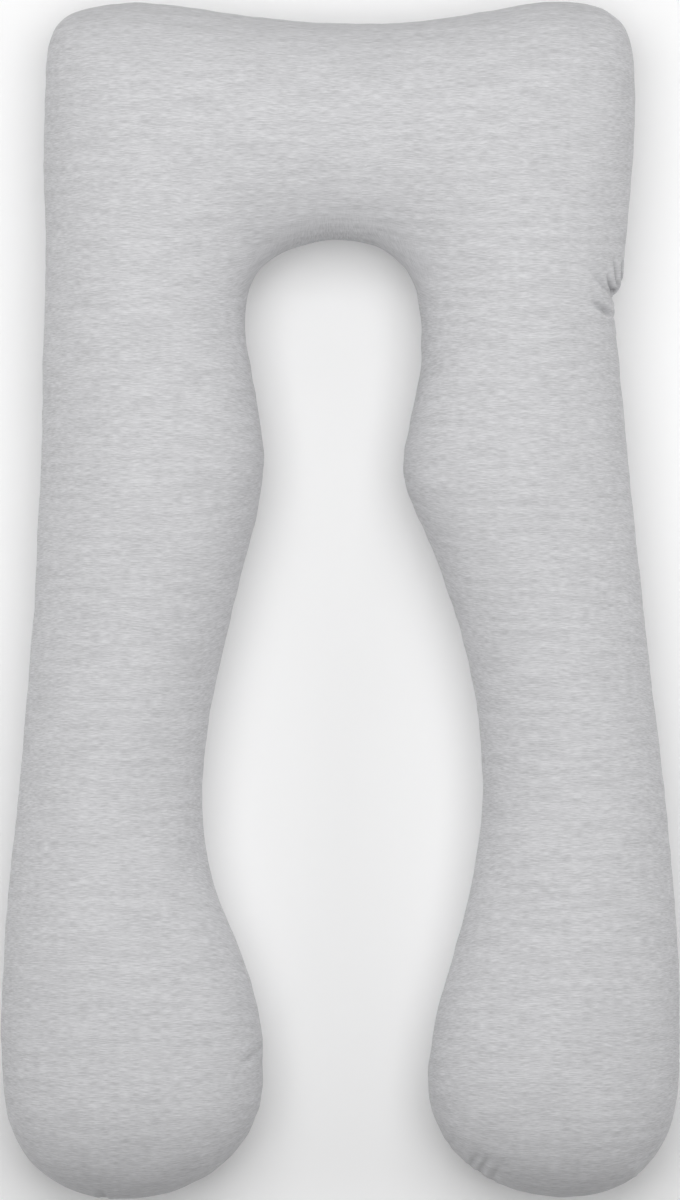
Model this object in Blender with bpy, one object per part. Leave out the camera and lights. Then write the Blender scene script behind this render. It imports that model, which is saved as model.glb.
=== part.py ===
"""A U-shaped body pillow, filled, lying on its back.

The cover is a face panel and a back panel of jersey, both cut to the same U and sewn together
round their edge. Filled, it is one crowned solid: plump over the two feet and the two head
corners, drawn in at the seam, and flat along the middle of its underside, where it rests.

Frame: the head end is towards +Y, the face is up (+Z) and the surface it lies on is z = 0.
The origin is under the middle of the pillow's bounding box.
"""

import math
from typing import NamedTuple

import bmesh
import bpy
import numpy as np

# Driving dimensions, in metres
WIDTH = 0.85
LENGTH = 1.50
LOFT = 0.205
SEAM_HEIGHT = 0.088  # lower than half the loft, because the filling's weight spreads the back panel

# Form of the filled section, as shares
RESTING_BAND = 0.42  # half width of the flat band underneath, against the section's half width
ARM_FULLNESS = 2.35  # superellipse exponent of the face: 2 is an ellipse, more is squarer
HEAD_FULLNESS = 2.1
HEAD_FULLNESS_FROM = 0.5  # the face softens from this outer_y
HEAD_FULLNESS_OVER = 0.4  # and over this much of it
BACK_FULLNESS = 2.2
FOOT_ROUNDNESS = 2.12  # superellipse exponent of a foot's end, in plan and in height

# Divisions of the loft
STEPS_PER_ROW = 4
FOOT_END_STEPS = 7
FACE_STEPS = 12
BACK_CORNER_STEPS = 5
RESTING_STEPS = 3

HEATHER_GREY = (0.56, 0.56, 0.57, 1.0)


class ArmRow(NamedTuple):
    """A section straight across an arm: x is a share of half the width, y of half the length."""

    y: float
    outer_x: float
    inner_x: float
    crown: float  # top of the section, as a share of the loft


class HeadRow(NamedTuple):
    """A section that fans from the neck arch to the outside, in the same shares."""

    outer_x: float
    outer_y: float
    inner_x: float
    inner_y: float
    crown: float


class FootEnd(NamedTuple):
    """The rounded end of an arm, in the same shares."""

    tip_x: float
    tip_y: float


# The arms differ a little, as two stuffed arms do. Both tables run from the foot to the neck.
LEFT_ARM = (
    ArmRow(y=-0.80, outer_x=-0.993, inner_x=-0.226, crown=1.00),
    ArmRow(y=-0.70, outer_x=-1.000, inner_x=-0.235, crown=1.00),
    ArmRow(y=-0.59, outer_x=-0.989, inner_x=-0.292, crown=0.98),
    ArmRow(y=-0.46, outer_x=-0.969, inner_x=-0.382, crown=0.93),
    ArmRow(y=-0.32, outer_x=-0.947, inner_x=-0.410, crown=0.89),
    ArmRow(y=-0.17, outer_x=-0.923, inner_x=-0.380, crown=0.89),
    ArmRow(y=-0.02, outer_x=-0.901, inner_x=-0.321, crown=0.91),
    ArmRow(y=0.12, outer_x=-0.889, inner_x=-0.257, crown=0.94),
    ArmRow(y=0.23, outer_x=-0.881, inner_x=-0.225, crown=0.96),
    ArmRow(y=0.34, outer_x=-0.876, inner_x=-0.248, crown=0.96),
    ArmRow(y=0.43, outer_x=-0.872, inner_x=-0.279, crown=0.96),
)
RIGHT_ARM = (
    ArmRow(y=-0.80, outer_x=0.997, inner_x=0.255, crown=1.00),
    ArmRow(y=-0.70, outer_x=1.000, inner_x=0.284, crown=1.00),
    ArmRow(y=-0.59, outer_x=0.996, inner_x=0.336, crown=0.97),
    ArmRow(y=-0.46, outer_x=0.980, inner_x=0.396, crown=0.93),
    ArmRow(y=-0.32, outer_x=0.956, inner_x=0.424, crown=0.89),
    ArmRow(y=-0.17, outer_x=0.924, inner_x=0.402, crown=0.88),
    ArmRow(y=-0.02, outer_x=0.894, inner_x=0.339, crown=0.90),
    ArmRow(y=0.11, outer_x=0.869, inner_x=0.254, crown=0.93),
    ArmRow(y=0.21, outer_x=0.850, inner_x=0.187, crown=0.96),
    ArmRow(y=0.31, outer_x=0.837, inner_x=0.212, crown=0.96),
    ArmRow(y=0.39, outer_x=0.825, inner_x=0.240, crown=0.96),
)
# From the left arm over the head to the right arm
HEAD = (
    HeadRow(outer_x=-0.865, outer_y=0.590, inner_x=-0.279, inner_y=0.500, crown=0.97),
    HeadRow(outer_x=-0.871, outer_y=0.775, inner_x=-0.257, inner_y=0.535, crown=0.98),
    HeadRow(outer_x=-0.846, outer_y=0.953, inner_x=-0.214, inner_y=0.564, crown=0.99),
    HeadRow(outer_x=-0.680, outer_y=0.995, inner_x=-0.162, inner_y=0.582, crown=0.99),
    HeadRow(outer_x=-0.470, outer_y=0.992, inner_x=-0.112, inner_y=0.593, crown=0.97),
    HeadRow(outer_x=-0.230, outer_y=0.971, inner_x=-0.058, inner_y=0.600, crown=0.96),
    HeadRow(outer_x=0.020, outer_y=0.961, inner_x=0.000, inner_y=0.602, crown=0.95),
    HeadRow(outer_x=0.250, outer_y=0.966, inner_x=0.060, inner_y=0.598, crown=0.96),
    HeadRow(outer_x=0.470, outer_y=0.987, inner_x=0.110, inner_y=0.589, crown=0.97),
    HeadRow(outer_x=0.690, outer_y=0.999, inner_x=0.155, inner_y=0.573, crown=0.99),
    HeadRow(outer_x=0.843, outer_y=0.955, inner_x=0.192, inner_y=0.552, crown=0.99),
    HeadRow(outer_x=0.872, outer_y=0.810, inner_x=0.220, inner_y=0.525, crown=0.98),
    HeadRow(outer_x=0.850, outer_y=0.665, inner_x=0.235, inner_y=0.495, crown=0.97),
    HeadRow(outer_x=0.836, outer_y=0.570, inner_x=0.241, inner_y=0.470, crown=0.97),
    HeadRow(outer_x=0.829, outer_y=0.485, inner_x=0.243, inner_y=0.438, crown=0.96),
)
LEFT_FOOT_END = FootEnd(tip_x=-0.642, tip_y=-1.000)
RIGHT_FOOT_END = FootEnd(tip_x=0.660, tip_y=-0.996)

# Where the edge seam of the right arm is gathered in, in metres
GATHER_Y = 0.370
GATHER_DEPTH = 0.010
GATHER_ABOVE = 0.014  # the edge steps back out sharply towards the head
GATHER_BELOW = 0.045  # and slowly towards the foot
GATHER_HEIGHT = 0.035  # it fades this far above and below the seam


def as_head_row(row):
    """An arm's row as a head row: outer and inner ends at one y."""
    return HeadRow(row.outer_x, row.y, row.inner_x, row.y, row.crown)


def smoothed(rows, steps):
    """Catmull-Rom through the rows, with steps stations from each row to the next."""
    rows = np.array(rows, float)
    padded = np.vstack([2 * rows[0] - rows[1], rows, 2 * rows[-1] - rows[-2]])
    stations = []
    for i in range(1, len(rows)):
        before, start, end, after = padded[i - 1 : i + 3]
        for t in np.arange(steps) / steps:
            stations.append(
                0.5
                * (
                    2 * start
                    + (end - before) * t
                    + (2 * before - 5 * start + 4 * end - after) * t**2
                    + (3 * start - 3 * end + after - before) * t**3
                )
            )
    stations.append(rows[-1])
    return stations


def superellipse(t, roundness):
    """Height of a unit superellipse at t from its middle."""
    return max(0.0, 1.0 - t**roundness) ** (1.0 / roundness)


def foot_end(row, end):
    """Sections that close an arm in a rounded foot: (section, swell), from the arm to near the tip.

    swell falls from 1 to 0 and draws the face and the back in to the seam's height.
    """
    half = (row.outer_x - row.inner_x) / 2
    middle = (row.outer_x + row.inner_x) / 2
    sections = []
    for i in range(1, FOOT_END_STEPS):
        t = math.sin(math.pi / 2 * i / FOOT_END_STEPS)
        swell = superellipse(t, FOOT_ROUNDNESS)
        y = row.y + (end.tip_y - row.y) * t
        centre = middle + (end.tip_x - middle) * t**2
        section = HeadRow(centre + half * swell, y, centre - half * swell, y, row.crown)
        sections.append((section, swell))
    return sections


def signed_power(value, exponent):
    return math.copysign(abs(value) ** exponent, value)


def profile(fullness, crown_height, swell):
    """The section's closed outline as (across, height), across from 1, the outer seam, to -1."""
    face = []
    for i in range(FACE_STEPS):
        angle = math.pi * i / FACE_STEPS
        rise = math.sin(angle) ** (2 / fullness) * (crown_height - SEAM_HEIGHT)
        face.append((signed_power(math.cos(angle), 2 / fullness), rise))
    outer_corner = []
    for i in range(BACK_CORNER_STEPS + 1):
        angle = math.pi / 2 * i / BACK_CORNER_STEPS
        reach = max(0.0, math.cos(angle)) ** (2 / BACK_FULLNESS)
        drop = math.sin(angle) ** (2 / BACK_FULLNESS) * SEAM_HEIGHT
        outer_corner.append((RESTING_BAND + (1 - RESTING_BAND) * reach, -drop))
    inner_corner = [(-across, rise) for across, rise in outer_corner]
    resting = []
    for i in range(1, RESTING_STEPS):
        resting.append((RESTING_BAND * (2 * i / RESTING_STEPS - 1), -SEAM_HEIGHT))
    outline = face + inner_corner + resting + outer_corner[:0:-1]
    return [(across, SEAM_HEIGHT + rise * swell) for across, rise in outline]


def gathered_in(x, y, z):
    """How far the gather in the right arm's outer seam draws this point towards the middle."""
    if x < 0:
        return 0.0
    spread = GATHER_ABOVE if y > GATHER_Y else GATHER_BELOW
    along = math.exp(-(((y - GATHER_Y) / spread) ** 2))
    up = math.exp(-(((z - SEAM_HEIGHT) / GATHER_HEIGHT) ** 2))
    return GATHER_DEPTH * along * up


def ring(section, fullness, swell):
    """The section's outline in the pillow's frame, in metres."""
    outer = np.array([section.outer_x * WIDTH / 2, section.outer_y * LENGTH / 2])
    inner = np.array([section.inner_x * WIDTH / 2, section.inner_y * LENGTH / 2])
    middle, reach = (outer + inner) / 2, (outer - inner) / 2
    points = []
    for across, z in profile(fullness, section.crown * LOFT, swell):
        x, y = middle + across * reach
        inward = gathered_in(x, y, z) * max(0.0, across)
        points.append((x - inward, y, z))
    return points


def fullness_at(section):
    """Fuller over the arms, softer over the head corners, where two edges share the same fabric."""
    share = min(1.0, max(0.0, (section.outer_y - HEAD_FULLNESS_FROM) / HEAD_FULLNESS_OVER))
    return ARM_FULLNESS + (HEAD_FULLNESS - ARM_FULLNESS) * share


def pillow_rings():
    """Every section from the left foot, over the head, to the right foot."""
    rows = [*map(as_head_row, LEFT_ARM), *HEAD, *map(as_head_row, reversed(RIGHT_ARM))]
    stations = [(HeadRow(*s), 1.0) for s in smoothed(rows, STEPS_PER_ROW)]
    left = foot_end(LEFT_ARM[0], LEFT_FOOT_END)
    right = foot_end(RIGHT_ARM[0], RIGHT_FOOT_END)
    return [ring(s, fullness_at(s), swell) for s, swell in [*reversed(left), *stations, *right]]


def foot_tip(end):
    return (end.tip_x * WIDTH / 2, end.tip_y * LENGTH / 2, SEAM_HEIGHT)


def loft(name, rings, first_tip, last_tip):
    """One closed mesh through the rings, closed to a point at each end."""
    mesh = bpy.data.meshes.new(name)
    shape = bmesh.new()
    loops = [[shape.verts.new(point) for point in points] for points in rings]
    count = len(loops[0])
    for this, following in zip(loops, loops[1:]):
        for i in range(count):
            j = (i + 1) % count
            shape.faces.new((this[i], this[j], following[j], following[i]))
    for loop, tip in ((loops[0], first_tip), (loops[-1], last_tip)):
        point = shape.verts.new(tip)
        for i in range(count):
            shape.faces.new((loop[i], loop[(i + 1) % count], point))
    bmesh.ops.recalc_face_normals(shape, faces=shape.faces)
    shape.to_mesh(mesh)
    shape.free()
    mesh.shade_smooth()
    return bpy.data.objects.new(name, mesh)


def jersey():
    """Heathered cotton jersey."""
    material = bpy.data.materials.new("heather_jersey")
    material.use_nodes = True
    shader = material.node_tree.nodes["Principled BSDF"]
    shader.inputs["Base Color"].default_value = HEATHER_GREY
    shader.inputs["Roughness"].default_value = 0.9
    shader.inputs["Metallic"].default_value = 0.0
    return material


def main():
    for old in list(bpy.data.objects):
        bpy.data.objects.remove(old)
    parts = bpy.data.collections.new("body_pillow")
    bpy.context.scene.collection.children.link(parts)
    pillow = loft("pillow", pillow_rings(), foot_tip(LEFT_FOOT_END), foot_tip(RIGHT_FOOT_END))
    pillow.data.materials.append(jersey())
    parts.objects.link(pillow)


main()
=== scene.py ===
"""The looks of a U-shaped body pillow: its jersey cover, its edge seam's stitches and a studio.

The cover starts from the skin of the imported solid. Each point is given its place on the flat cut
panel, which gives the knit its direction. The cover is then stuffed by a cloth simulation, and last
the seam, the gather, the creases and the filling's soft lumps are worked into it.
Everything is in metres, in the solid's own frame: the head end towards +Y and the face up.
"""

import math
from typing import NamedTuple

import bmesh
import bpy
import numpy as np
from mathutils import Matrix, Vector, bvhtree, noise


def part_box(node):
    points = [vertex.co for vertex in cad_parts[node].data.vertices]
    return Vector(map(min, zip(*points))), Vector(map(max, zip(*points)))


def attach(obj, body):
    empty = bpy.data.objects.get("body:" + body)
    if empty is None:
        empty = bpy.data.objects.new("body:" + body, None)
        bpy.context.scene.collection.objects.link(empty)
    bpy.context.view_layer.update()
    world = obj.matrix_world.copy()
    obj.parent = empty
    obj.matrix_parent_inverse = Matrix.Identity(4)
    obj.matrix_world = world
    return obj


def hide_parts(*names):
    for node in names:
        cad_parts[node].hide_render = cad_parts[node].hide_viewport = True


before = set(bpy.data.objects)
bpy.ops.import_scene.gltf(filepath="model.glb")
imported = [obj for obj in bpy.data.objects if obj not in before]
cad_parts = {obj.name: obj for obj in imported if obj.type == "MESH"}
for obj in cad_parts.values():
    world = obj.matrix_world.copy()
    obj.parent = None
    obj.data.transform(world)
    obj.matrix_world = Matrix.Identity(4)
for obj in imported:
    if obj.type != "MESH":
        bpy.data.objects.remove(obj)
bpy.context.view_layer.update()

bl_info = {
    "name": "Body Pillow",
    "version": (1, 0, 0),
    "blender": (4, 5, 0),
    "location": "View3D > Sidebar > Body Pillow",
    "description": "Builds a stuffed U-shaped body pillow in heathered jersey, with a studio",
    "category": "Object",
}

NODE = "pillow"
BODY = "root"
LOW, HIGH = (Vector(corner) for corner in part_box(NODE))

# The edge seam lies at one height all round the solid, where it is widest
SEAM_HEIGHT = 0.088
SEAM_TOLERANCE = 0.0002
MERGE_DISTANCE = 0.00001

SEAM_GROUP = "seam"
PANEL_ATTRIBUTE = "panel"
PULL_ATTRIBUTE = "pull"
PAINTED_SHADE_ATTRIBUTE = "crease_shade"


# ---------------------------------------------------------------- sizes and colours


def linear(hex_colour):
    """An sRGB hex colour as a linear one."""
    channels = [int(hex_colour[i : i + 2], 16) / 255 for i in (1, 3, 5)]
    return [c / 12.92 if c <= 0.04045 else ((c + 0.055) / 1.055) ** 2.4 for c in channels]


class CoverSizes(bpy.types.PropertyGroup):
    """How the cover is stuffed and sewn."""

    inset: bpy.props.FloatProperty(
        name="Inset",
        description="How far inside the solid's skin the cover starts. Below zero it starts outside",
        default=-0.001,
        unit="LENGTH",
    )
    seam_inset: bpy.props.FloatProperty(
        name="Seam inset",
        description="How far inside the solid's skin the edge seam starts. Below zero it starts outside",
        default=-0.0025,
        unit="LENGTH",
    )
    pressure: bpy.props.FloatProperty(
        name="Pressure",
        description="How hard the filling presses on the cover",
        default=4.0,
    )
    swell: bpy.props.FloatProperty(
        name="Swell",
        description="The most that stuffing may move a point of the cover",
        default=0.012,
        unit="LENGTH",
    )
    lump_height: bpy.props.FloatProperty(
        name="Lump height",
        description="How far the filling's soft lumps raise the cover",
        default=0.0016,
        unit="LENGTH",
    )
    lump_size: bpy.props.FloatProperty(
        name="Lump size",
        description="Distance from one soft lump of filling to the next",
        default=0.11,
        unit="LENGTH",
    )
    groove_depth: bpy.props.FloatProperty(
        name="Groove depth",
        description="Depth of the groove in which the edge seam lies",
        default=0.0022,
        unit="LENGTH",
    )
    groove_width: bpy.props.FloatProperty(
        name="Groove width",
        description="Width of that groove",
        default=0.006,
        unit="LENGTH",
    )


class JerseyLook(bpy.types.PropertyGroup):
    """The heathered jersey's colours and knit."""

    ground: bpy.props.FloatVectorProperty(
        name="Ground",
        description="The jersey's main light grey",
        subtype="COLOR",
        size=3,
        default=linear("#c7c7c9"),
    )
    light_fibre: bpy.props.FloatVectorProperty(
        name="Light fibre",
        description="The palest fibres of the heathered yarn",
        subtype="COLOR",
        size=3,
        default=linear("#d5d5d7"),
    )
    dark_fibre: bpy.props.FloatVectorProperty(
        name="Dark fibre",
        description="The darkest fibres of the heathered yarn",
        subtype="COLOR",
        size=3,
        default=linear("#b7b7b9"),
    )
    # Painted shade: creases are darkened towards this colour, standing in for the shade that falls deep in
    # a fold
    painted_fold_shade: bpy.props.FloatVectorProperty(
        name="Fold shade",
        description="The jersey deep in a crease, where its loops close up and shade each other",
        subtype="COLOR",
        size=3,
        default=linear("#8f8f92"),
    )
    relief: bpy.props.FloatProperty(
        name="Relief",
        description="Height of the relief that the streaks give the knit",
        default=0.0006,
        precision=4,
        unit="LENGTH",
    )
    streak_length: bpy.props.FloatProperty(
        name="Streak length",
        description="Length of a streak of one shade along a course of the knit",
        default=0.013,
        unit="LENGTH",
    )
    streak_width: bpy.props.FloatProperty(
        name="Streak width",
        description="Width of a streak, across the courses",
        default=0.0012,
        unit="LENGTH",
    )
    band_length: bpy.props.FloatProperty(
        name="Band length",
        description="Length of a faint band where many courses share one shade",
        default=0.070,
        unit="LENGTH",
    )
    band_width: bpy.props.FloatProperty(
        name="Band width",
        description="Width of such a band",
        default=0.009,
        unit="LENGTH",
    )
    band_share: bpy.props.FloatProperty(
        name="Band share",
        description="How much the bands count beside the streaks",
        default=0.3,
        subtype="FACTOR",
    )
    wander: bpy.props.FloatProperty(
        name="Wander",
        description="How far a course strays from straight",
        default=0.005,
        unit="LENGTH",
    )
    wander_size: bpy.props.FloatProperty(
        name="Wander size",
        description="Distance over which a course strays and comes back",
        default=0.055,
        unit="LENGTH",
    )


class StitchSizes(bpy.types.PropertyGroup):
    """The thread that shows where the stuffed seam opens."""

    pitch: bpy.props.FloatProperty(
        name="Pitch",
        description="Distance from one stitch to the next along the seam",
        default=0.004,
        unit="LENGTH",
    )
    span: bpy.props.FloatProperty(
        name="Span",
        description="Length of thread that crosses the seam",
        default=0.0034,
        unit="LENGTH",
    )
    thread: bpy.props.FloatProperty(
        name="Thread",
        description="Diameter of the sewing thread",
        default=0.0006,
        unit="LENGTH",
    )
    colour: bpy.props.FloatVectorProperty(
        name="Colour",
        description="The sewing thread's colour",
        subtype="COLOR",
        size=3,
        default=linear("#c2c2c6"),
    )


class StudioLook(bpy.types.PropertyGroup):
    """The floor, the lights and the camera."""

    floor: bpy.props.FloatVectorProperty(
        name="Floor",
        description="The floor's colour",
        subtype="COLOR",
        size=3,
        default=linear("#fafafa"),
    )
    room_light: bpy.props.FloatProperty(
        name="Room light",
        description="Strength of the even light from all round",
        default=0.22,
    )
    lens: bpy.props.FloatProperty(
        name="Lens",
        description="The camera's focal length in millimetres",
        default=200.0,
        unit="CAMERA",
    )
    margin: bpy.props.FloatProperty(
        name="Margin",
        description="Space left past the pillow's head and foot ends in the camera's view",
        default=0.0018,
        unit="LENGTH",
    )


# ---------------------------------------------------------------- the cover's shape


class Crease(NamedTuple):
    """A crease seen from above, from the tight end outwards. A negative depth is a ridge."""

    route: tuple
    depth: float
    width: float


# Creases that run from the gather in the right arm's edge seam, as a hand would pinch them
GATHER_CREASES = (
    Crease(
        route=((0.3600, 0.3830), (0.3503, 0.3960), (0.3514, 0.4075), (0.3530, 0.4250)),
        depth=0.0070,
        width=0.0042,
    ),
    Crease(
        route=((0.3600, 0.3800), (0.3450, 0.3960), (0.3446, 0.4100), (0.3410, 0.4280)),
        depth=0.0035,
        width=0.0034,
    ),
    Crease(
        route=((0.3600, 0.3740), (0.3402, 0.3852), (0.3366, 0.3946), (0.3323, 0.4061)),
        depth=0.0065,
        width=0.0034,
    ),
    Crease(
        route=((0.3600, 0.3700), (0.3350, 0.3850), (0.3201, 0.3990), (0.3072, 0.4107)),
        depth=0.0028,
        width=0.0034,
    ),
    Crease(
        route=((0.3600, 0.3420), (0.3425, 0.3480), (0.3308, 0.3600), (0.3120, 0.3710)),
        depth=0.0050,
        width=0.0034,
    ),
)


class Tuck(NamedTuple):
    """A stretch of the right arm's edge that the gather draws in."""

    at: float  # along Y
    depth: float
    spread: float


GATHER_TUCKS = (
    Tuck(at=0.3785, depth=0.0070, spread=0.007),
    Tuck(at=0.3620, depth=0.0057, spread=0.040),
)
GATHER_SIDE = 0.345  # the edge's place along X
GATHER_RISE = 0.045  # the gather fades out this far above, below and inside the edge seam

# Short creases where the edge seam turns round the feet
LEFT_FOOT_CREASES = (
    Crease(
        route=((-0.0965, -0.556), (-0.111, -0.569), (-0.128, -0.580)),
        depth=0.0017,
        width=0.0045,
    ),
    Crease(
        route=((-0.0990, -0.636), (-0.110, -0.631), (-0.119, -0.629)),
        depth=-0.0008,
        width=0.0080,
    ),
    Crease(route=((-0.2960, -0.760), (-0.296, -0.745), (-0.297, -0.733)), depth=0.0020, width=0.0040),
)
RIGHT_FOOT_CREASES = (
    Crease(
        route=((0.1600, -0.7120), (0.1665, -0.7000), (0.1720, -0.6900), (0.1760, -0.6790)),
        depth=0.0015,
        width=0.0032,
    ),
    Crease(
        route=((0.1700, -0.7230), (0.1770, -0.7080), (0.1815, -0.6980), (0.1860, -0.6870)),
        depth=0.0017,
        width=0.0034,
    ),
    Crease(
        route=((0.1880, -0.7330), (0.1940, -0.7130), (0.1975, -0.7030), (0.2005, -0.6920)),
        depth=0.0012,
        width=0.0036,
    ),
    Crease(route=((0.1300, -0.6860), (0.1400, -0.6760), (0.1440, -0.6620)), depth=0.0009, width=0.0035),
    Crease(route=((0.3690, -0.7190), (0.3640, -0.7060), (0.3600, -0.6970)), depth=-0.0012, width=0.0050),
)
CREASES = GATHER_CREASES + LEFT_FOOT_CREASES + RIGHT_FOOT_CREASES

CREASE_WIDENS = 0.4  # a crease is wider by this share where it fades out
SHOULDER_AT = 1.9  # a crease's raised shoulders lie this many widths from its middle
SHOULDER_SHARE = 0.30  # their height as a share of the crease's depth
CREASE_SINK = 0.8  # a crease is pressed down by this share of its depth as well as in
FULL_CREASE_SHADE_DEPTH = 0.007  # in a crease this deep the painted shade is full

# Faces near a crease are halved in passes, each within its share of the reach
CREASE_REACH = 0.020
FINER_PASSES = ((CREASES, 1.0), (CREASES, 0.7), (GATHER_CREASES, 0.35))
SEAM_STRIPS = 3  # rows of faces added on each side of the seam
ON_SEAM = 0.999  # vertex weight past which a vertex lies on the seam

# The neck arch, round whose top the cover is pulled, seen from above
ARCH_MIDDLE = (0.0, 0.345)
ARCH_RADIUS = 0.106
ARCH_BAND = 0.045  # the pull fades out this far from the edge
ARCH_UPPER_FROM = 0.25  # and towards the arch's sides, between these shares of its radius
ARCH_UPPER_TO = 0.75
ARCH_RIPPLE_SIZE = 0.014
ARCH_RIPPLE_HEIGHT = 0.0006

SEAM_RIPPLE_SIZE = 0.022
SEAM_RIPPLE_HEIGHT = 0.0014
SEAM_RIPPLE_REACH = 0.022
RESTING_FADE = 0.030  # the lumps fade out over this height above the resting surface
SMALL_LUMPS = 0.4  # each lump carries smaller ones, of this share of its size
SMALL_LUMP_SHARE = 0.35  # and of this share of its height
# Where the small lumps and the arch's ripples read the noise, so that no two patterns match
SMALL_LUMPS_PLACE = 3
ARCH_RIPPLE_PLACE = 7

STUFFING_STEPS = 20  # steps of the cloth simulation


def coordinates(mesh):
    points = np.empty(len(mesh.vertices) * 3)
    mesh.vertices.foreach_get("co", points)
    return points.reshape(-1, 3)


def normals_of(mesh):
    normals = np.empty(len(mesh.vertices) * 3)
    mesh.vertices.foreach_get("normal", normals)
    return normals.reshape(-1, 3)


def place(mesh, points):
    mesh.vertices.foreach_set("co", np.ascontiguousarray(points, dtype=np.float64).ravel())
    mesh.update()


def link(piece):
    bpy.context.scene.collection.objects.link(piece)
    return piece


def keep_evaluated(piece):
    """Gives the piece its evaluated mesh and takes its modifiers off."""
    graph = bpy.context.evaluated_depsgraph_get()
    mesh = bpy.data.meshes.new_from_object(piece.evaluated_get(graph), depsgraph=graph)
    piece.modifiers.clear()
    piece.data = mesh


def subdivide(piece, levels):
    modifier = piece.modifiers.new("rounding", "SUBSURF")
    modifier.levels = levels
    modifier.render_levels = levels
    keep_evaluated(piece)


def seam_weights(piece):
    """1 on the edge seam, falling to 0 at the next row of vertices."""
    index = piece.vertex_groups[SEAM_GROUP].index
    weights = np.zeros(len(piece.data.vertices))
    for vertex in piece.data.vertices:
        for group in vertex.groups:
            if group.group == index:
                weights[vertex.index] = group.weight
    return weights


def panelled_skin():
    """The solid's skin in quads, with its edge seam marked."""
    shape = bmesh.new()
    shape.from_mesh(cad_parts[NODE].data)
    bmesh.ops.remove_doubles(shape, verts=shape.verts, dist=MERGE_DISTANCE)
    bmesh.ops.join_triangles(
        shape,
        faces=shape.faces,
        angle_face_threshold=math.pi,
        angle_shape_threshold=math.pi,
    )
    on_seam = [abs(v.co.z - SEAM_HEIGHT) < SEAM_TOLERANCE for v in shape.verts]
    if not any(on_seam):
        raise RuntimeError("the solid has no vertices at the edge seam's height")
    mesh = bpy.data.meshes.new("pillow_cover")
    shape.to_mesh(mesh)
    shape.free()
    piece = link(bpy.data.objects.new("pillow_cover", mesh))
    group = piece.vertex_groups.new(name=SEAM_GROUP)
    group.add([i for i, marked in enumerate(on_seam) if marked], 1.0, "REPLACE")
    return piece


def lay_panels_flat(piece):
    """The panels' own coordinates, in metres, with the courses of the knit along X.

    Where the cover turns down by an angle, the cloth on a round edge is longer than its plan by
    radius * (angle - sin(angle)), so a point's place on the flat panel is that much further out.
    """
    mesh = piece.data
    normals = normals_of(mesh)
    radius = (HIGH.z - LOW.z) / 2
    level = np.linalg.norm(normals[:, :2], axis=1)
    angle = np.arctan2(level, np.abs(normals[:, 2]))
    longer = radius * (angle - np.sin(angle)) / np.maximum(level, 1e-6)
    flat = (coordinates(mesh) + normals * longer[:, None]) * (1, 1, 0)
    panel = mesh.attributes.new(PANEL_ATTRIBUTE, "FLOAT_VECTOR", "POINT")
    panel.data.foreach_set("vector", flat.ravel())


def draw_in(piece, sizes):
    """Moves the cover in by its insets, before it is stuffed."""
    mesh = piece.data
    weights = seam_weights(piece)
    inset = sizes.inset + (sizes.seam_inset - sizes.inset) * weights
    points = coordinates(mesh) - normals_of(mesh) * inset[:, None]
    points[:, 2] = np.maximum(points[:, 2], 0.0)
    place(mesh, points)


def stuff(piece, sizes):
    """Cloth under pressure, held at its seam, on a flat surface."""
    cloth = piece.modifiers.new("stuffing", "CLOTH")
    settings = cloth.settings
    settings.quality = 6
    settings.mass = 0.3
    settings.tension_stiffness = 15
    settings.compression_stiffness = 10
    settings.shear_stiffness = 5
    settings.bending_stiffness = 0.5
    settings.use_pressure = True
    settings.uniform_pressure_force = sizes.pressure
    settings.effector_weights.gravity = 0
    settings.vertex_group_mass = SEAM_GROUP
    cloth.collision_settings.use_collision = False
    start = coordinates(piece.data)
    scene = bpy.context.scene
    for step in range(1, STUFFING_STEPS + 1):
        scene.frame_set(step)
    graph = bpy.context.evaluated_depsgraph_get()
    end = coordinates(piece.evaluated_get(graph).data)
    piece.modifiers.remove(cloth)
    scene.frame_set(1)
    moved = end - start
    distance = np.linalg.norm(moved, axis=1, keepdims=True)
    points = start + moved * np.minimum(1.0, sizes.swell / np.maximum(distance, 1e-9))
    points[:, 2] = np.maximum(points[:, 2], 0.0)
    place(piece.data, points)


def near(centre, route, reach):
    """Whether a point lies within reach of a point of the route, seen from above."""
    return any((Vector((x, y)) - centre.xy).length < reach for x, y in route)


def edges_of(faces):
    """The faces' edges, each once and always in the same order."""
    return list(dict.fromkeys(edge for face in faces for edge in face.edges))


def refine(piece):
    """Smaller faces where the creases go, smallest at the gather, and beside the seam."""
    shape = bmesh.new()
    shape.from_mesh(piece.data)
    for creases, share in FINER_PASSES:
        reach = CREASE_REACH * share
        spots = [
            face
            for face in shape.faces
            if face.calc_center_median().z > SEAM_HEIGHT - CREASE_REACH
            and any(near(face.calc_center_median(), crease.route, reach) for crease in creases)
        ]
        bmesh.ops.subdivide_edges(shape, edges=edges_of(spots), cuts=1, use_grid_fill=True)
    layer = shape.verts.layers.deform.active
    group = piece.vertex_groups[SEAM_GROUP].index
    sewn = {v for v in shape.verts if v[layer].get(group, 0.0) > ON_SEAM}
    spokes = [e for e in shape.edges if (e.verts[0] in sewn) != (e.verts[1] in sewn)]
    bmesh.ops.subdivide_edges(shape, edges=spokes, cuts=SEAM_STRIPS, use_grid_fill=True)
    shape.to_mesh(piece.data)
    shape.free()


def surface_of(piece):
    return bvhtree.BVHTree.FromPolygons(
        coordinates(piece.data).tolist(), [p.vertices for p in piece.data.polygons]
    )


def landed(surface, x, y):
    """The point of the cover under (x, y), or the nearest one on the seam's level past the edge."""
    hit, *_ = surface.ray_cast(Vector((x, y, HIGH.z * 2)), Vector((0, 0, -1)))
    if hit is None:
        hit, *_ = surface.find_nearest(Vector((x, y, SEAM_HEIGHT)))
    return np.array(hit)


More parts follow.
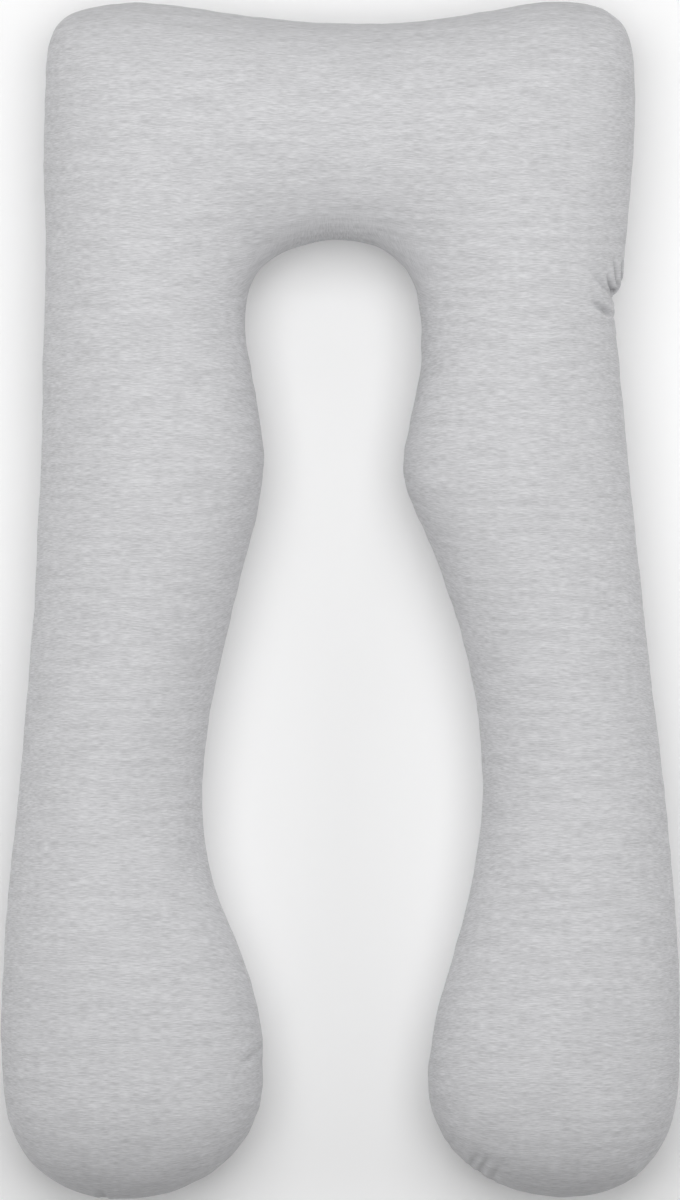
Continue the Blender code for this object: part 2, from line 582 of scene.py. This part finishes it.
def crease_relief(points, surface):
    """How deep each point lies in a crease, and how high on a ridge or on a crease's shoulder."""
    troughs = np.zeros(len(points))
    raised = np.zeros(len(points))
    for crease in CREASES:
        line = [landed(surface, x, y) for x, y in crease.route]
        lengths = [np.linalg.norm(b - a) for a, b in zip(line, line[1:])]
        distance = np.full(len(points), np.inf)
        share = np.zeros(len(points))
        run = 0.0
        for start, end, length in zip(line, line[1:], lengths):
            along = np.clip((points - start) @ (end - start) / length**2, 0.0, 1.0)
            away = np.linalg.norm(points - start - along[:, None] * (end - start), axis=1)
            closer = away < distance
            distance[closer] = away[closer]
            share[closer] = (run + along[closer] * length) / sum(lengths)
            run += length
        width = crease.width * (1 + CREASE_WIDENS * share)
        depth = crease.depth * (1 - share**4)
        trough = depth * np.exp(-((distance / width) ** 2))
        shoulder = depth * np.exp(-((distance / width - SHOULDER_AT) ** 2))
        troughs = np.maximum(troughs, trough)
        raised = np.maximum(raised, np.maximum(SHOULDER_SHARE * shoulder, -trough))
    return troughs, raised


def eased(share):
    """0 to 1 with a soft start and end."""
    share = np.clip(share, 0.0, 1.0)
    return share * share * (3 - 2 * share)


def arch_pull(points):
    """How hard the neck arch pulls the cover at each point, from 0 to 1."""
    away = points[:, :2] - ARCH_MIDDLE
    out = 1 - (np.linalg.norm(away, axis=1) - ARCH_RADIUS) / ARCH_BAND
    upper = (away[:, 1] / ARCH_RADIUS - ARCH_UPPER_FROM) / (ARCH_UPPER_TO - ARCH_UPPER_FROM)
    return eased(out) * eased(upper)


def gathered(points):
    """The points with the edge seam drawn in at the gather."""
    up = np.exp(-(((points[:, 2] - SEAM_HEIGHT) / GATHER_RISE) ** 2))
    outer = eased((points[:, 0] - GATHER_SIDE) / GATHER_RISE + 1)
    moved = points.copy()
    for tuck in GATHER_TUCKS:
        near_tuck = np.exp(-(((points[:, 1] - tuck.at) / tuck.spread) ** 2))
        moved[:, 0] -= tuck.depth * near_tuck * up * outer
    return moved


def lump_offsets(points, sizes):
    """The filling's soft lumps, and the short ripples that its pull makes beside the seam."""
    offsets = np.empty(len(points))
    pull = arch_pull(points)
    for i, (x, y, z) in enumerate(points.tolist()):
        lump = noise.noise(Vector((x, y, z)) / sizes.lump_size)
        small = noise.noise(Vector((x + SMALL_LUMPS_PLACE, y, z)) / (sizes.lump_size * SMALL_LUMPS))
        resting = min(1.0, z / RESTING_FADE)
        beside = math.exp(-abs(z - SEAM_HEIGHT) / SEAM_RIPPLE_REACH)
        ripple = noise.noise(Vector((x, y, 0)) / SEAM_RIPPLE_SIZE) * beside
        drawn = noise.noise(Vector((x / ARCH_RIPPLE_SIZE, 0, ARCH_RIPPLE_PLACE))) * pull[i]
        offsets[i] = resting * (
            sizes.lump_height * (lump + SMALL_LUMP_SHARE * small)
            + SEAM_RIPPLE_HEIGHT * ripple
            + ARCH_RIPPLE_HEIGHT * drawn * (z > SEAM_HEIGHT)
        )
    return offsets


def groove_offsets(points, sizes):
    """The edge seam's groove."""
    across = np.abs(points[:, 2] - SEAM_HEIGHT)
    return -sizes.groove_depth * np.exp(-((across / (sizes.groove_width / 2)) ** 2))


def work(piece, sizes):
    """Works the gather, lumps, ripples, groove and creases into the stuffed cover.

    It also marks on the cover where the knit is pulled, and how deep each point lies in a crease, for the
    jersey's painted crease shade.
    """
    place(piece.data, gathered(coordinates(piece.data)))
    surface = surface_of(piece)
    points = coordinates(piece.data)
    troughs, raised = crease_relief(points, surface)
    offsets = lump_offsets(points, sizes) + groove_offsets(points, sizes) + raised - troughs
    points = points + normals_of(piece.data) * offsets[:, None]
    points[:, 2] -= troughs * CREASE_SINK
    points[:, 2] = np.maximum(points[:, 2], 0.0)
    place(piece.data, points)
    pull = piece.data.attributes.new(PULL_ATTRIBUTE, "FLOAT", "POINT")
    pull.data.foreach_set("value", arch_pull(points))
    # Painted shade: each point's share of a full crease's depth, by which the jersey darkens the cover
    # where shade falls in creases
    crease_shade = piece.data.attributes.new(PAINTED_SHADE_ATTRIBUTE, "FLOAT", "POINT")
    crease_shade.data.foreach_set("value", np.minimum(troughs / FULL_CREASE_SHADE_DEPTH, 1.0))


# ---------------------------------------------------------------- materials


def add_node(tree, kind, inputs=None, **settings):
    """Adds a node. Each input, by name or index, takes a value or another node's output."""
    node = tree.nodes.new(kind)
    for name, value in settings.items():
        setattr(node, name, value)
    for key, value in (inputs or {}).items():
        if isinstance(value, bpy.types.NodeSocket):
            tree.links.new(value, node.inputs[key])
        else:
            node.inputs[key].default_value = value
    return node


def new_material(name):
    """A material with an empty node tree."""
    material = bpy.data.materials.new(name)
    material.use_nodes = True
    material.node_tree.nodes.clear()
    return material


def jersey(look):
    """Heathered cotton jersey: single knit from yarn spun of pale and dark grey fibres.

    The eye gets short streaks of one shade along the courses, a little wavy, in faint broader bands,
    on a soft matt ground. Over the neck arch, where the cover is pulled, they turn to run up it.
    Deep in a crease the colour is darkened: painted shade for the shade that falls in the fold.
    The knit's own loops, 0.8 mm apart, are too fine to show, so the streaks stand for them.
    """
    material = new_material("heathered_cotton_jersey")
    tree = material.node_tree
    panel = add_node(tree, "ShaderNodeAttribute", attribute_name=PANEL_ATTRIBUTE).outputs["Vector"]
    pull = add_node(tree, "ShaderNodeAttribute", attribute_name=PULL_ATTRIBUTE).outputs["Fac"]
    stray = add_node(
        tree,
        "ShaderNodeTexNoise",
        {"Vector": panel, "Scale": 1 / look.wander_size, "Detail": 2.0},
        noise_dimensions="2D",
    ).outputs["Color"]
    centred = add_node(
        tree, "ShaderNodeVectorMath", {0: stray, 1: (0.5, 0.5, 0.5)}, operation="SUBTRACT"
    ).outputs[0]
    shift = add_node(
        tree,
        "ShaderNodeVectorMath",
        {0: centred, 1: (look.wander, look.wander, 0.0)},
        operation="MULTIPLY",
    ).outputs[0]
    wavy = add_node(tree, "ShaderNodeVectorMath", {0: panel, 1: shift}, operation="ADD").outputs[0]

    shades = {}
    for name, size in (
        ("courses", (look.streak_length, look.streak_width)),
        ("pulled", (look.streak_width, look.streak_length)),
        ("bands", (look.band_length, look.band_width)),
    ):
        stretched = add_node(
            tree,
            "ShaderNodeVectorMath",
            {0: wavy, 1: (1 / size[0], 1 / size[1], 0.0)},
            operation="MULTIPLY",
        ).outputs[0]
        shades[name] = add_node(
            tree,
            "ShaderNodeTexNoise",
            {"Vector": stretched, "Scale": 1.0, "Detail": 2.0, "Roughness": 0.6},
            noise_dimensions="2D",
        ).outputs["Fac"]
    streaks = add_node(
        tree, "ShaderNodeMix", {0: pull, 2: shades["courses"], 3: shades["pulled"]}
    ).outputs[0]
    mixed = add_node(
        tree, "ShaderNodeMix", {0: look.band_share, 2: streaks, 3: shades["bands"]}
    ).outputs[0]
    spread = add_node(
        tree, "ShaderNodeMapRange", {"Value": mixed, "From Min": 0.32, "From Max": 0.68}
    ).outputs["Result"]
    shade = add_node(tree, "ShaderNodeValToRGB", {"Fac": spread})
    ramp = shade.color_ramp
    ramp.elements[0].color = (*look.dark_fibre, 1.0)
    ramp.elements[1].color = (*look.light_fibre, 1.0)
    ramp.elements.new(0.5).color = (*look.ground, 1.0)
    # Painted shade: the colour darkens towards the fold shade by how deep the point lies in a crease
    crease_shade = add_node(tree, "ShaderNodeAttribute", attribute_name=PAINTED_SHADE_ATTRIBUTE).outputs["Fac"]
    colour = add_node(
        tree,
        "ShaderNodeMix",
        {0: crease_shade, 6: shade.outputs["Color"], 7: (*look.painted_fold_shade, 1.0)},
        data_type="RGBA",
    )
    bump = add_node(tree, "ShaderNodeBump", {"Height": streaks, "Strength": 0.25, "Distance": look.relief})
    shader = add_node(
        tree,
        "ShaderNodeBsdfPrincipled",
        {
            "Base Color": colour.outputs[2],
            "Normal": bump.outputs["Normal"],
            "Roughness": 0.92,
            "Specular IOR Level": 0.2,
            "Sheen Weight": 0.08,
            "Sheen Roughness": 0.5,
        },
    )
    add_node(tree, "ShaderNodeOutputMaterial", {"Surface": shader.outputs["BSDF"]})
    return material


def plain_material(name, colour, roughness):
    """A matt or glossy finish of one colour."""
    material = new_material(name)
    tree = material.node_tree
    shader = add_node(
        tree, "ShaderNodeBsdfPrincipled", {"Base Color": (*colour, 1.0), "Roughness": roughness}
    )
    add_node(tree, "ShaderNodeOutputMaterial", {"Surface": shader.outputs["BSDF"]})
    return material


# ---------------------------------------------------------------- the seam's stitches


def seam_line():
    """The cover's edge seam as a closed line, with the cover's outward direction at each point."""
    piece = bpy.data.objects["pillow_cover"]
    on_seam = seam_weights(piece) > ON_SEAM
    points = coordinates(piece.data)
    outward = normals_of(piece.data)
    kept = np.flatnonzero(on_seam)
    number = {int(old): new for new, old in enumerate(kept)}
    edges = [
        (number[edge.vertices[0]], number[edge.vertices[1]])
        for edge in piece.data.edges
        if edge.vertices[0] in number and edge.vertices[1] in number
    ]
    mesh = bpy.data.meshes.new("seam_stitches")
    mesh.from_pydata(points[kept].tolist(), edges, [])
    direction = mesh.attributes.new("outward", "FLOAT_VECTOR", "POINT")
    direction.data.foreach_set("vector", outward[kept].ravel())
    return link(bpy.data.objects.new("seam_stitches", mesh))


def stitch_tree(material):
    """A thread over the seam at every pitch along a line."""
    tree = bpy.data.node_groups.new("seam_stitching", "GeometryNodeTree")
    tree.interface.new_socket("Geometry", in_out="INPUT", socket_type="NodeSocketGeometry")
    for name in ("Pitch", "Span", "Thread"):
        tree.interface.new_socket(name, in_out="INPUT", socket_type="NodeSocketFloat")
    tree.interface.new_socket("Geometry", in_out="OUTPUT", socket_type="NodeSocketGeometry")
    given = add_node(tree, "NodeGroupInput").outputs

    line = add_node(tree, "GeometryNodeMeshToCurve", {"Mesh": given["Geometry"]})
    spaced = add_node(
        tree,
        "GeometryNodeResampleCurve",
        {"Curve": line.outputs["Curve"], "Length": given["Pitch"]},
        mode="LENGTH",
    )
    outward = add_node(
        tree, "GeometryNodeInputNamedAttribute", {"Name": "outward"}, data_type="FLOAT_VECTOR"
    )
    tangent = add_node(tree, "GeometryNodeInputTangent")
    turn = add_node(
        tree,
        "FunctionNodeAxesToRotation",
        {0: outward.outputs["Attribute"], 1: tangent.outputs["Tangent"]},
        primary_axis="Z",
        secondary_axis="X",
    )

    # one stitch: a thread that arches across the seam by its own thickness
    half = add_node(tree, "ShaderNodeMath", {0: given["Span"], 1: 0.5}, operation="MULTIPLY")
    lower = add_node(tree, "ShaderNodeMath", {0: given["Span"], 1: -0.5}, operation="MULTIPLY")
    radius = add_node(tree, "ShaderNodeMath", {0: given["Thread"], 1: 0.5}, operation="MULTIPLY")
    start = add_node(tree, "ShaderNodeCombineXYZ", {"Y": lower.outputs[0]})
    middle = add_node(tree, "ShaderNodeCombineXYZ", {"Z": given["Thread"]})
    end = add_node(tree, "ShaderNodeCombineXYZ", {"Y": half.outputs[0]})
    strand = add_node(
        tree,
        "GeometryNodeCurveQuadraticBezier",
        {
            "Start": start.outputs[0],
            "Middle": middle.outputs[0],
            "End": end.outputs[0],
            "Resolution": 4,
        },
    )
    section = add_node(
        tree, "GeometryNodeCurvePrimitiveCircle", {"Radius": radius.outputs[0], "Resolution": 6}
    )
    stitch = add_node(
        tree,
        "GeometryNodeCurveToMesh",
        {
            "Curve": strand.outputs[0],
            "Profile Curve": section.outputs["Curve"],
            "Fill Caps": True,
        },
    )
    placed = add_node(
        tree,
        "GeometryNodeInstanceOnPoints",
        {
            "Points": spaced.outputs["Curve"],
            "Instance": stitch.outputs["Mesh"],
            "Rotation": turn.outputs["Rotation"],
        },
    )
    real = add_node(tree, "GeometryNodeRealizeInstances", {"Geometry": placed.outputs["Instances"]})
    finished = add_node(
        tree,
        "GeometryNodeSetMaterial",
        {"Geometry": real.outputs["Geometry"], "Material": material},
    )
    add_node(tree, "NodeGroupOutput", {"Geometry": finished.outputs["Geometry"]})
    return tree


def set_inputs(modifier, values):
    """Sets a Geometry Nodes modifier's inputs, given by name, through their identifiers."""
    for item in modifier.node_group.interface.items_tree:
        if item.item_type == "SOCKET" and item.in_out == "INPUT" and item.name in values:
            modifier[item.identifier] = values[item.name]


# ---------------------------------------------------------------- the studio


FLOOR_REACH = 20.0  # from the middle to each side
SENSOR_HEIGHT = 36.0  # millimetres
CLIP_END = 80.0


class Softbox(NamedTuple):
    """A soft studio light, in metres and watts, that points at the middle of the pillow."""

    name: str
    place: tuple
    width: float
    depth: float
    watts: float


SOFTBOXES = (
    Softbox(name="overhead", place=(0.0, 0.6, 3.2), width=3.2, depth=3.2, watts=87),
    Softbox(name="head_end", place=(0.3, 3.6, 1.6), width=3.0, depth=1.6, watts=11),
    Softbox(name="left", place=(-3.4, 0.2, 1.6), width=2.6, depth=1.6, watts=26),
    Softbox(name="right", place=(3.4, 0.2, 1.6), width=2.6, depth=1.6, watts=24),
)


def softbox(light):
    """Builds one of the studio's lights."""
    data = bpy.data.lights.new(light.name, "AREA")
    data.shape = "RECTANGLE"
    data.size = light.width
    data.size_y = light.depth
    data.energy = light.watts
    lamp = link(bpy.data.objects.new(light.name, data))
    lamp.location = light.place
    lamp.rotation_euler = (-Vector(light.place)).to_track_quat("-Z", "Y").to_euler()
    lamp.visible_camera = False


def floor_piece(colour):
    """A square floor under the pillow, in matt studio paper."""
    mesh = bpy.data.meshes.new("floor")
    low, high = -FLOOR_REACH, FLOOR_REACH
    mesh.from_pydata([(low, low, 0), (high, low, 0), (high, high, 0), (low, high, 0)], [], [(0, 1, 2, 3)])
    # Matt studio paper: an even pale surface with no gloss
    mesh.materials.append(plain_material("matt_paper", colour, roughness=0.9))
    return link(bpy.data.objects.new("floor", mesh))


def even_room(strength):
    """White light of one strength from all round."""
    world = bpy.data.worlds.new("studio")
    world.use_nodes = True
    background = world.node_tree.nodes["Background"]
    background.inputs["Color"].default_value = (1, 1, 1, 1)
    background.inputs["Strength"].default_value = strength
    return world


def camera_above(look):
    """A camera that looks straight down and takes in the pillow's whole length."""
    data = bpy.data.cameras.new("camera")
    data.lens = look.lens
    data.sensor_fit = "VERTICAL"
    data.sensor_height = SENSOR_HEIGHT
    data.clip_end = CLIP_END
    height = HIGH.y - LOW.y + 2 * look.margin
    distance = look.lens / SENSOR_HEIGHT * height
    camera = link(bpy.data.objects.new("camera", data))
    camera.location = ((LOW.x + HIGH.x) / 2, (LOW.y + HIGH.y) / 2, SEAM_HEIGHT + distance)
    return camera


# ---------------------------------------------------------------- operators


class BODYPILLOW_OT_cover(bpy.types.Operator):
    """Build the stuffed jersey cover"""

    bl_idname = "body_pillow.cover"
    bl_label = "Cover"

    def execute(self, context):
        sizes = context.scene.body_pillow_cover
        piece = panelled_skin()
        subdivide(piece, 1)
        lay_panels_flat(piece)
        draw_in(piece, sizes)
        stuff(piece, sizes)
        subdivide(piece, 1)
        refine(piece)
        work(piece, sizes)
        piece.data.materials.append(jersey(context.scene.body_pillow_jersey))
        piece.data.shade_smooth()
        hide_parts(NODE)
        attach(piece, BODY)
        return {"FINISHED"}


class BODYPILLOW_OT_seam_stitches(bpy.types.Operator):
    """Sew the stitches of the edge seam, after the cover is built"""

    bl_idname = "body_pillow.seam_stitches"
    bl_label = "Seam Stitches"

    def execute(self, context):
        sizes = context.scene.body_pillow_stitches
        piece = seam_line()
        modifier = piece.modifiers.new("stitching", "NODES")
        # Spun polyester thread: a fine, slightly glossier line than the knit beside it
        thread = plain_material("spun_polyester_thread", sizes.colour, roughness=0.7)
        modifier.node_group = stitch_tree(thread)
        set_inputs(modifier, {"Pitch": sizes.pitch, "Span": sizes.span, "Thread": sizes.thread})
        keep_evaluated(piece)
        if not piece.data.polygons:
            raise RuntimeError("the edge seam gave no stitches")
        piece.data.shade_smooth()
        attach(piece, BODY)
        return {"FINISHED"}


class BODYPILLOW_OT_stage(bpy.types.Operator):
    """Build the floor, the lights and the camera"""

    bl_idname = "body_pillow.stage"
    bl_label = "Stage"

    def execute(self, context):
        look = context.scene.body_pillow_studio
        scene = context.scene
        floor_piece(look.floor)
        for light in SOFTBOXES:
            softbox(light)
        scene.world = even_room(look.room_light)
        scene.view_settings.view_transform = "Standard"
        scene.camera = camera_above(look)
        return {"FINISHED"}


class BODYPILLOW_PT_panel(bpy.types.Panel):
    """The body pillow's sizes, colours and pieces"""

    bl_label = "Body Pillow"
    bl_idname = "BODYPILLOW_PT_panel"
    bl_space_type = "VIEW_3D"
    bl_region_type = "UI"
    bl_category = "Body Pillow"

    def draw(self, context):
        for name, group in GROUPS.items():
            box = self.layout.box()
            for key in group.__annotations__:
                box.prop(getattr(context.scene, name), key)
        for operator in OPERATORS:
            self.layout.operator(operator.bl_idname)


GROUPS = {
    "body_pillow_cover": CoverSizes,
    "body_pillow_jersey": JerseyLook,
    "body_pillow_stitches": StitchSizes,
    "body_pillow_studio": StudioLook,
}
OPERATORS = (BODYPILLOW_OT_cover, BODYPILLOW_OT_seam_stitches, BODYPILLOW_OT_stage)


def register():
    for group in GROUPS.values():
        bpy.utils.register_class(group)
    for name, group in GROUPS.items():
        setattr(bpy.types.Scene, name, bpy.props.PointerProperty(type=group))
    for part in (*OPERATORS, BODYPILLOW_PT_panel):
        bpy.utils.register_class(part)


def unregister():
    for part in (BODYPILLOW_PT_panel, *reversed(OPERATORS)):
        bpy.utils.unregister_class(part)
    for name in GROUPS:
        delattr(bpy.types.Scene, name)
    for group in reversed(GROUPS.values()):
        bpy.utils.unregister_class(group)


def main():
    register()
    bpy.ops.body_pillow.cover()
    bpy.ops.body_pillow.seam_stitches()
    bpy.ops.body_pillow.stage()


if __name__ == "__main__":
    main()
